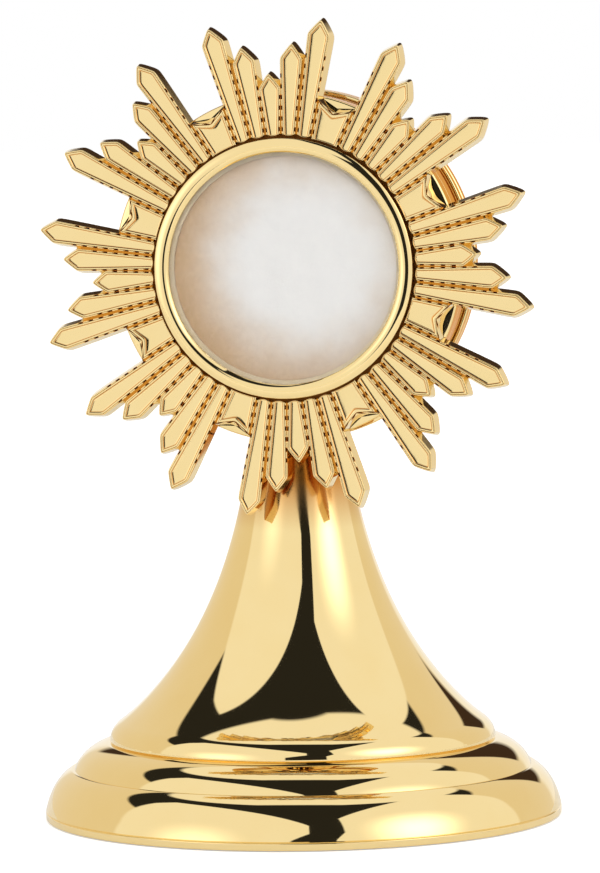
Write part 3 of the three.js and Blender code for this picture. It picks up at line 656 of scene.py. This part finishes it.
# The relic pad: a disc of cotton wadding, crowned towards the glass, with soft lumps. It is filled
# by a cloth simulation at ten times its size: pressure swells a copy for 20 frames, and each point
# then takes the shift of its copy, up to swell. Side and back are held, as their seat holds them.
pad = {
    "radius": 18.4, "back": 5.82, "rim": 10.42, "crown": 0.62, "drawIn": 0.35,
    "lump": 0.09, "lumpLengths": (2.5, 7), "lumpCount": 14, "seed": 7,
    "swell": 0.22, "pressure": 4.0, "enlarge": 10.0, "frames": 20, "held": 16.6, "heldDepth": 0.6,
    "white": ("#F2F1F1", "#FEFCFA"), "paintedWarmShade": ("#BE955F", "#E2C092"), "paintedWarmShadeFrom": (7, 23),
    "paintedWarmShadeLean": (-0.30, 0, -0.11), "patch": 5.0, "fibre": 0.9, "fibreDepth": 0.15,
}


# Lumps over x and z: a sum of sines whose waves are 2.5 to 7 mm long and run in every direction,
# the long ones higher than the short ones
def lumps(p, x, z):
    draw = np.random.default_rng(p["seed"])
    (shortest, longest), count = p["lumpLengths"], p["lumpCount"]
    lengths = draw.uniform(shortest, longest, count)
    angles, phases = draw.uniform(0, 6.28, count), draw.uniform(0, 6.28, count)
    along = x[..., None] * np.cos(angles) + z[..., None] * np.sin(angles)
    return (np.sin(2 * np.pi * along / lengths + phases) * lengths / longest).sum(-1) / 3


def fillPad(made, p):
    scale = p["enlarge"]
    count = len(made.data.vertices)
    rest = np.empty(count * 3)
    made.data.vertices.foreach_get("co", rest)
    rest = rest.reshape(-1, 3)
    copy = bpy.data.objects.new("padCopy", made.data.copy())
    scene.collection.objects.link(copy)
    copy.data.vertices.foreach_set("co", (rest * scale).ravel())
    outward = np.hypot(rest[:, 0], rest[:, 2] - headZ * mm)
    held = copy.vertex_groups.new(name="held")
    deep = -rest[:, 1] < (p["rim"] - p["heldDepth"]) * mm
    still = np.where((outward > p["held"] * mm) | deep)[0]
    held.add(still.tolist(), 1.0, "REPLACE")
    cloth = copy.modifiers.new("cloth", "CLOTH")
    cloth.settings.quality = 4
    cloth.settings.vertex_group_mass = "held"
    cloth.settings.use_pressure = True
    cloth.settings.uniform_pressure_force = p["pressure"]
    cloth.settings.effector_weights.gravity = 0
    scene.frame_start, scene.frame_end = 1, p["frames"]
    for frameNumber in range(1, p["frames"] + 1):
        scene.frame_set(frameNumber)
    shaped = copy.evaluated_get(bpy.context.evaluated_depsgraph_get()).data
    after = np.empty(count * 3)
    shaped.vertices.foreach_get("co", after)
    shift = after.reshape(-1, 3) / scale - rest
    size = np.linalg.norm(shift, axis=1, keepdims=True)
    shift = shift * np.minimum(1, p["swell"] * mm / np.maximum(size, 1e-9))
    print("pad filled, its points moved up to", round(float(size.max() / mm), 3), "mm")
    made.data.vertices.foreach_set("co", (rest + shift).ravel())
    made.data.update()
    bpy.data.objects.remove(copy)
    scene.frame_set(1)


def makePad(p):
    share = np.linspace(0, 1, 9)
    side = np.stack([p["radius"] - p["drawIn"] * (2 * share - 1) ** 2,
                     p["back"] + (p["rim"] - p["back"]) * share], -1)
    fall = np.linspace(1, 0, 26)
    front = np.stack([(p["radius"] - p["drawIn"]) * fall,
                      p["rim"] + p["crown"] * (1 - fall ** 6)], -1)[1:]
    back = np.stack([(p["radius"] - p["drawIn"]) * fall[::-3], np.full(9, p["back"])], -1)
    grid = turnedForward(np.vstack([back, side, front]), 96)
    near = np.clip((-grid[..., 1] - p["rim"]) / p["crown"], 0, 1)
    grid[..., 1] -= p["lump"] * near * lumps(p, grid[..., 0], grid[..., 2])
    made = meshFromGrids("cotton_pad", [grid], 180, wrap=False)
    fillPad(made, p)
    smooth = made.modifiers.new("subdivision", "SUBSURF")
    smooth.levels = smooth.render_levels = 1
    made.data.materials.append(makeCotton(p))
    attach(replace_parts(made, "relic_pad"), "stand")


# Cotton wadding: matt white fibres 0.9 mm apart, drawn coarser than real ones so that they show. Its
# edge is painted tan as shade and as the gold's warm reflected light, in uneven patches, and further
# in on one side.
def makeCotton(p):
    material, tree = newMaterial("cotton wadding, brushed")
    place = addNode(tree, "TexCoord").outputs["Object"]
    centred = addNode(tree, "Mapping", {"Vector": place, "Location": (0, 0, -headZ * mm)})
    flat = addNode(tree, "VectorMath", {0: centred, 1: (1, 0, 1)}, operation="MULTIPLY")
    outward = addNode(tree, "VectorMath", {0: flat}, operation="LENGTH").outputs["Value"]
    lean = addNode(tree, "VectorMath", {0: flat, 1: p["paintedWarmShadeLean"]}, operation="DOT_PRODUCT")
    reach = addNode(tree, "Math", {0: outward, 1: lean.outputs["Value"]}, operation="ADD")
    patch = addNode(tree, "TexNoise", {
        "Vector": place, "Scale": 1 / (p["patch"] * mm), "Detail": 3.0})
    uneven = addNode(tree, "Math", {
        0: patch, 1: p["patch"] * mm, 2: -p["patch"] / 2 * mm}, operation="MULTIPLY_ADD")
    reach = addNode(tree, "Math", {0: reach, 1: uneven}, operation="ADD")
    # the tan edge is painted shade and warm reflected light, reaching further in on one side
    paintedWarmShadeFrom, paintedWarmShadeTo = p["paintedWarmShadeFrom"]
    paintedWarmShade = addNode(tree, "MapRange", {
        "Value": reach, "From Min": paintedWarmShadeFrom * mm, "From Max": paintedWarmShadeTo * mm},
        interpolation_type="SMOOTHSTEP")
    fibre = addNode(tree, "TexNoise", {
        "Vector": place, "Scale": 1 / (p["fibre"] * mm), "Detail": 6.0, "Roughness": 0.7,
        "Distortion": 0.6})
    white, tan = (addNode(tree, "MixRGB", {
        "Fac": fibre, "Color1": colour(low), "Color2": colour(high)})
        for low, high in (p["white"], p["paintedWarmShade"]))
    tone = addNode(tree, "MixRGB", {"Fac": paintedWarmShade, "Color1": white, "Color2": tan})
    bump = addNode(tree, "Bump", {
        "Height": fibre, "Strength": 0.5, "Distance": p["fibreDepth"] * mm})
    cotton = addNode(tree, "BsdfPrincipled", {
        "Base Color": tone, "Normal": bump, "Roughness": 0.95, "Sheen Weight": 0.3})
    addNode(tree, "OutputMaterial", {"Surface": cotton})
    return material


makePad(pad)
print("window stack filled")


# The felt disc that the reliquary stands on: pressed wool with a soft edge, glued to the base
# plate. Its radius is cut unevenly by up to fuzz: fuzz (1 + sin 23a sin(41a + 1)) / 2.
felt = {"edge": 0.25, "fuzz": 0.05, "fibre": 0.4, "tones": ("#26402C", "#3E5C43"), "depth": 0.1}


def makeFelt(f):
    low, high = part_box("base_felt")
    radius, thick = (high[0] - low[0]) / 2 / mm, (high[2] - low[2]) / mm
    profile = roundedProfile([
        (0, 0, 0), (radius * 0.5, 0, 0), (radius, 0, f["edge"]), (radius, thick, f["edge"]),
        (radius * 0.5, thick, 0), (0, thick, 0)])
    grid = turnedUpright(profile, 192)
    around = np.linspace(0, 2 * np.pi, 192, endpoint=False)
    ragged = 1 - f["fuzz"] / radius * (0.5 + 0.5 * np.sin(23 * around) * np.sin(41 * around + 1))
    grid[..., :2] *= np.where(profile[:, :1] > radius * 0.9, ragged[None], 1)[..., None]
    made = meshFromGrids("felt_disc", [grid], wrap=False)
    material, tree = newMaterial("pressed wool felt")
    place = addNode(tree, "TexCoord").outputs["Object"]
    wool = addNode(tree, "TexNoise", {
        "Vector": place, "Scale": 1 / (f["fibre"] * mm), "Detail": 5.0, "Roughness": 0.7})
    dark, pale = (colour(code) for code in f["tones"])
    tone = addNode(tree, "MixRGB", {"Fac": wool, "Color1": dark, "Color2": pale})
    bump = addNode(tree, "Bump", {"Height": wool, "Strength": 0.7, "Distance": f["depth"] * mm})
    cloth = addNode(tree, "BsdfPrincipled", {
        "Base Color": tone, "Normal": bump, "Roughness": 0.95, "Sheen Weight": 0.35})
    addNode(tree, "OutputMaterial", {"Surface": cloth})
    made.data.materials.append(material)
    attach(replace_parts(made, "base_felt"), "stand")


makeFelt(felt)


# Zinc-plated steel: a cool grey mirror dulled by the crystals of the plating, drawn 0.7 mm wide,
# which is coarser than real ones, so that they show
zincPlate = {"crystal": 0.7, "tones": ("#B9BABC", "#C8C9CB"), "roughness": (0.28, 0.4)}


def makeZinc(z):
    material, tree = newMaterial("zinc-plated steel")
    place = addNode(tree, "TexCoord").outputs["Object"]
    crystals = addNode(tree, "TexVoronoi", {"Vector": place, "Scale": 1 / (z["crystal"] * mm)})
    dark, pale = (colour(code) for code in z["tones"])
    tone = addNode(tree, "MixRGB", {
        "Fac": crystals.outputs["Color"], "Color1": dark, "Color2": pale})
    smooth, rough = z["roughness"]
    dull = addNode(tree, "MapRange", {
        "Value": crystals.outputs["Distance"], "To Min": smooth, "To Max": rough})
    metal = addNode(tree, "BsdfPrincipled", {
        "Base Color": tone, "Roughness": dull, "Metallic": 1.0})
    addNode(tree, "OutputMaterial", {"Surface": metal})
    return material


# Cast iron: the 0.6 mm grain of the sand mould under black paint, rubbed to a dull sheen
paintedIron = {
    "grain": 0.6, "depth": 0.12, "tones": ("#232325", "#38383A"), "roughness": (0.45, 0.7)}


def makeIron(p):
    material, tree = newMaterial("cast iron, painted black")
    place = addNode(tree, "TexCoord").outputs["Object"]
    sand = addNode(tree, "TexNoise", {
        "Vector": place, "Scale": 1 / (p["grain"] * mm), "Detail": 4.0})
    dark, pale = (colour(code) for code in p["tones"])
    tone = addNode(tree, "MixRGB", {"Fac": sand, "Color1": dark, "Color2": pale})
    smooth, rough = p["roughness"]
    dull = addNode(tree, "MapRange", {"Value": sand, "To Min": smooth, "To Max": rough})
    bump = addNode(tree, "Bump", {"Height": sand, "Strength": 0.6, "Distance": p["depth"] * mm})
    paint = addNode(tree, "BsdfPrincipled", {"Base Color": tone, "Roughness": dull, "Normal": bump})
    addNode(tree, "OutputMaterial", {"Surface": paint})
    return material


# Turned brass without plating: rings of tool marks round the head's axis, 0.25 mm apart
turnedBrass = {
    "feed": 0.25, "depth": 0.01, "cloud": 4.0, "tones": ("#D9B766", "#C9A455"),
    "roughness": (0.22, 0.34)}


def makeBrass(b):
    material, tree = newMaterial("turned brass")
    place = addNode(tree, "TexCoord").outputs["Object"]
    centred = addNode(tree, "Mapping", {"Vector": place, "Location": (0, 0, -headZ * mm)})
    flat = addNode(tree, "VectorMath", {0: centred, 1: (1, 0, 1)}, operation="MULTIPLY")
    outward = addNode(tree, "VectorMath", {0: flat}, operation="LENGTH").outputs["Value"]
    angle = addNode(tree, "Math", {
        0: outward, 1: 2 * math.pi / (b["feed"] * mm)}, operation="MULTIPLY")
    marks = addNode(tree, "Math", {0: angle}, operation="SINE")
    cloud = addNode(tree, "TexNoise", {
        "Vector": place, "Scale": 1 / (b["cloud"] * mm), "Detail": 3.0})
    pale, dark = (colour(code) for code in b["tones"])
    tone = addNode(tree, "MixRGB", {"Fac": cloud, "Color1": pale, "Color2": dark})
    smooth, rough = b["roughness"]
    dull = addNode(tree, "MapRange", {"Value": cloud, "To Min": smooth, "To Max": rough})
    bump = addNode(tree, "Bump", {
        "Height": marks, "Strength": 0.3, "Distance": b["depth"] * mm})
    metal = addNode(tree, "BsdfPrincipled", {
        "Base Color": tone, "Roughness": dull, "Normal": bump, "Metallic": 1.0})
    addNode(tree, "OutputMaterial", {"Surface": metal})
    return material


# Natural rubber, moulded: a matt cream ring with a bloom in patches 1.5 mm wide
paleRubber = {"bloom": 1.5, "tones": ("#E6CFA4", "#F0DFC0"), "roughness": (0.6, 0.8)}


def makeRubber(r):
    material, tree = newMaterial("natural rubber, moulded")
    place = addNode(tree, "TexCoord").outputs["Object"]
    bloom = addNode(tree, "TexNoise", {
        "Vector": place, "Scale": 1 / (r["bloom"] * mm), "Detail": 4.0})
    deep, pale = (colour(code) for code in r["tones"])
    tone = addNode(tree, "MixRGB", {"Fac": bloom, "Color1": deep, "Color2": pale})
    smooth, rough = r["roughness"]
    dull = addNode(tree, "MapRange", {"Value": bloom, "To Min": smooth, "To Max": rough})
    rubber = addNode(tree, "BsdfPrincipled", {"Base Color": tone, "Roughness": dull})
    addNode(tree, "OutputMaterial", {"Surface": rubber})
    return material


# The solids that stay as they are take their materials
zinc, brass = makeZinc(zincPlate), makeBrass(turnedBrass)
nodeMaterials = {
    "base_plate": zinc, "tie_rod": zinc, "tie_washer": zinc, "tie_nut": zinc, "snap_ring": zinc,
    "base_weight": makeIron(paintedIron), "window_gasket": makeRubber(paleRubber),
    "bezel_nut": brass, "pad_backing": brass,
}
for node, material in nodeMaterials.items():
    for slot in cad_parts[node].material_slots:
        slot.material = material
print("inner pieces finished")


# The spring band in the case's groove: a strip of spring steel, open below, with rounded edges. Its
# section runs round the head's axis from one end of the gap to the other.
band = {"thick": 0.6, "edge": 0.15, "open": 10.0}


def makeBand(b):
    low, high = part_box("cap_band")
    outer, back, front = (high[0] - low[0]) / 2 / mm, -high[1] / mm, -low[1] / mm
    inner = outer - b["thick"]
    section = roundedProfile([
        (inner, back, b["edge"]), (outer, back, b["edge"]), (outer, front, b["edge"]),
        (inner, front, b["edge"])])
    half = math.radians(b["open"] / 2)
    a = np.linspace(-np.pi / 2 + half, 1.5 * np.pi - half, 240)[:, None]
    r, h = section[:, 0][None], section[:, 1][None]
    grid = np.stack([r * np.cos(a), -h + 0 * a, headZ + r * np.sin(a)], -1)
    caps = [np.repeat(grid[index].mean(0)[None], len(section), 0)[None] for index in (0, -1)]
    grid = np.concatenate([caps[0], grid, caps[1]])
    made = meshFromGrids("spring_band", [grid], wrap=False)
    made.data.materials.append(zinc)
    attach(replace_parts(made, "cap_band"), "cap_band")


makeBand(band)


# The floor is a pale matt sheet that keeps the shadow. Reflections see it only as far as the table's
# edge, and a camera ray sees it a little brighter, so that it fades into the white background.
table = {"radius": 6000, "edge": 380, "fade": 40, "tone": "#F2F2F2", "lift": 0.45}


def makeFloor(t):
    a = np.linspace(0, 2 * np.pi, 96, endpoint=False)
    ring = np.stack([np.cos(a), np.sin(a), 0 * a], -1) * t["radius"] * mm
    mesh = bpy.data.meshes.new("floor")
    mesh.from_pydata(ring.tolist(), [], [list(range(96))])
    made = bpy.data.objects.new("floor", mesh)
    scene.collection.objects.link(made)
    material, tree = newMaterial("matt white table")
    matt = addNode(tree, "BsdfDiffuse", {"Color": colour(t["tone"])})
    path = addNode(tree, "LightPath")
    lift = addNode(tree, "Math", {
        0: path.outputs["Is Camera Ray"], 1: t["lift"]}, operation="MULTIPLY")
    glow = addNode(tree, "Emission", {"Strength": lift})
    both = addNode(tree, "AddShader", {0: matt, 1: glow})
    place = addNode(tree, "TexCoord").outputs["Object"]
    away = addNode(tree, "VectorMath", {0: place}, operation="LENGTH").outputs["Value"]
    beyond = addNode(tree, "MapRange", {
        "Value": away, "From Min": t["edge"] * mm, "From Max": (t["edge"] + t["fade"]) * mm})
    unseen = addNode(tree, "Math", {
        0: beyond, 1: path.outputs["Is Glossy Ray"]}, operation="MULTIPLY")
    clear = addNode(tree, "BsdfTransparent")
    surface = addNode(tree, "MixShader", {0: unseen, 1: both, 2: clear})
    addNode(tree, "OutputMaterial", {"Surface": surface})
    mesh.materials.append(material)


# The studio that the gold mirrors is drawn by direction, whose parts are across, back and up. It is
# dark, with warm white screens at the sides, where the direction leans away from facing, and under
# the ceiling's edge, up = a + b back. Behind the object stands a white wall, from
# back = min(low + slope (full - up), most), with a dark room over it, where back + lean up is large.
# All its edges were fitted to the look of the reflections, and no real room was measured.
studio = {
    "dark": 0.022, "screen": (0.86, 0.79, 0.66, 1), "ceiling": (0.62, 0.22),
    "facing": (0.22, -0.97, 0), "screensFrom": (0.24, 0.26),
    "wall": {"low": -0.11, "slope": 3.0, "full": 0.975, "most": 0.93},
    "room": {"tone": (0.05, 0.03, 0.02, 1), "lean": 0.3, "depth": (0.97, 0.98), "over": (0.2, 0.26)},
}

# Two tall softboxes in front leave a dark gap between them. In the frame turned to a box's azimuth,
# u = across / ahead and v = up / ahead make its picture plane. Each side edge is u over v, given at
# two v and held beyond them as (v, v, u, u), and the top edge is v = a + b u. Each box is brighter
# by glow at its hot spot, given as azimuth and height. Away from the spot that fades with the cube
# of the cosine, counted from 0 to 1 over hotSpread.
hotSpread = (0.86, 1.0)
softboxes = (
    {"azimuth": -58, "left": (0.37, 1.57, -0.53, -0.85), "right": (0.4, 1.3, 1.5, 2.6),
     "top": (2.06, 0.0), "hot": (-42, 8), "glow": 0.8},
    {"azimuth": 85, "left": (0.63, 0.88, -1.96, -1.6), "right": (0.44, 2.4, 0.72, 1.15),
     "top": (2.3, 0.18), "hot": (62, 22), "glow": 1.6},
)


def makeWorld(s):
    world = bpy.data.worlds.new("studio")
    world.use_nodes = True
    scene.world = world
    tree = world.node_tree
    tree.nodes.clear()
    way = addNode(tree, "TexCoord").outputs["Generated"]
    parts = addNode(tree, "SeparateXYZ", {0: way})
    back, up = parts.outputs[1], parts.outputs[2]

    # screens at the sides
    level, slope = s["ceiling"]
    top = addNode(tree, "Math", {0: back, 1: slope, 2: level}, operation="MULTIPLY_ADD")
    under = addNode(tree, "Math", {0: top, 1: up}, operation="SUBTRACT")
    screens = addNode(tree, "MapRange", {"Value": under, "From Min": 0.0, "From Max": 0.02})
    facing = addNode(tree, "VectorMath", {0: way, 1: s["facing"]}, operation="DOT_PRODUCT")
    full, none = s["screensFrom"]
    aside = addNode(tree, "MapRange", {
        "Value": facing.outputs["Value"], "From Min": full, "From Max": none,
        "To Min": 1.0, "To Max": 0.0})
    sides = addNode(tree, "Math", {0: screens, 1: aside}, operation="MULTIPLY")
    light = addNode(tree, "MixRGB", {
        "Fac": sides, "Color1": [s["dark"]] * 3 + [1], "Color2": s["screen"]})

    # wall behind, and the room over it
    wall, room = s["wall"], s["room"]
    drop = addNode(tree, "Math", {0: wall["full"], 1: up}, operation="SUBTRACT", use_clamp=True)
    edge = addNode(tree, "Math", {
        0: drop, 1: wall["slope"], 2: wall["low"]}, operation="MULTIPLY_ADD")
    edge = addNode(tree, "Math", {0: edge, 1: wall["most"]}, operation="MINIMUM")
    behind = addNode(tree, "Math", {0: back, 1: edge}, operation="SUBTRACT")
    mask = addNode(tree, "MapRange", {"Value": behind, "From Min": -0.01, "From Max": 0.02})
    light = addNode(tree, "MixRGB", {"Fac": mask, "Color1": light, "Color2": (1, 1, 1, 1)})
    depth = addNode(tree, "Math", {0: up, 1: room["lean"], 2: back}, operation="MULTIPLY_ADD")
    far, over = (addNode(tree, "MapRange", {
        "Value": value, "From Min": room[name][0], "From Max": room[name][1]})
        for value, name in ((depth, "depth"), (up, "over")))
    mask = addNode(tree, "Math", {0: far, 1: over}, operation="MULTIPLY")
    light = addNode(tree, "MixRGB", {"Fac": mask, "Color1": light, "Color2": room["tone"]})

    for box in softboxes:
        turned = addNode(tree, "VectorRotate", {
            "Vector": way, "Angle": -math.radians(box["azimuth"])}, rotation_type="Z_AXIS")
        axes = addNode(tree, "SeparateXYZ", {0: turned})
        ahead = addNode(tree, "Math", {0: axes.outputs[1], 1: -1.0}, operation="MULTIPLY")
        near = addNode(tree, "Math", {0: ahead, 1: 0.02}, operation="MAXIMUM")
        u = addNode(tree, "Math", {0: axes.outputs[0], 1: near}, operation="DIVIDE")
        v = addNode(tree, "Math", {0: axes.outputs[2], 1: near}, operation="DIVIDE")
        level, slope = box["top"]
        line = addNode(tree, "Math", {0: u, 1: slope, 2: level}, operation="MULTIPLY_ADD")
        under = addNode(tree, "Math", {0: line, 1: v}, operation="SUBTRACT")
        mask = addNode(tree, "MapRange", {"Value": under, "From Min": 0.0, "From Max": 0.06})
        for side, sign in (("left", 1.0), ("right", -1.0)):
            lowV, highV, lowU, highU = box[side]
            line = addNode(tree, "MapRange", {
                "Value": v, "From Min": lowV, "From Max": highV, "To Min": lowU, "To Max": highU})
            gap = addNode(tree, "Math", {0: u, 1: line}, operation="SUBTRACT")
            inside = addNode(tree, "Math", {0: gap, 1: sign}, operation="MULTIPLY")
            soft = addNode(tree, "MapRange", {"Value": inside, "From Min": 0.0, "From Max": 0.05})
            mask = addNode(tree, "Math", {0: mask, 1: soft}, operation="MULTIPLY")
        azimuth, height = (math.radians(angle) for angle in box["hot"])
        level = math.cos(height)
        spot = (math.sin(azimuth) * level, -math.cos(azimuth) * level, math.sin(height))
        close = addNode(tree, "VectorMath", {0: way, 1: spot}, operation="DOT_PRODUCT")
        share = addNode(tree, "MapRange", {
            "Value": close.outputs["Value"], "From Min": hotSpread[0], "From Max": hotSpread[1]})
        peak = addNode(tree, "Math", {0: share, 1: 3.0}, operation="POWER")
        glow = addNode(tree, "Math", {0: peak, 1: box["glow"], 2: 1.0}, operation="MULTIPLY_ADD")
        light = addNode(tree, "MixRGB", {"Fac": mask, "Color1": light, "Color2": glow})

    # the camera sees plain white
    path = addNode(tree, "LightPath")
    lit = addNode(tree, "Background", {"Color": light})
    white = addNode(tree, "Background", {"Color": (1, 1, 1, 1)})
    seen = addNode(tree, "MixShader", {0: path.outputs["Is Camera Ray"], 1: lit, 2: white})
    addNode(tree, "OutputWorld", {"Surface": seen})


# Fill light for the matt pad behind the glass. Polished metal doesn't show it.
fill = {"size": 0.7, "place": (0.2, -1.2, 0.62), "power": 11.0}


def makeFill(f):
    data = bpy.data.lights.new("fill", "AREA")
    data.shape, data.size, data.energy = "SQUARE", f["size"], f["power"]
    lamp = bpy.data.objects.new("fill", data)
    place = Vector(f["place"])
    lamp.location = place
    lamp.rotation_euler = (place - Vector((0, 0, headZ * mm))).to_track_quat("Z", "Y").to_euler()
    lamp.visible_glossy = False
    scene.collection.objects.link(lamp)


makeFloor(table)
makeWorld(studio)
makeFill(fill)
scene.view_settings.view_transform = "Standard"
print("studio lit")
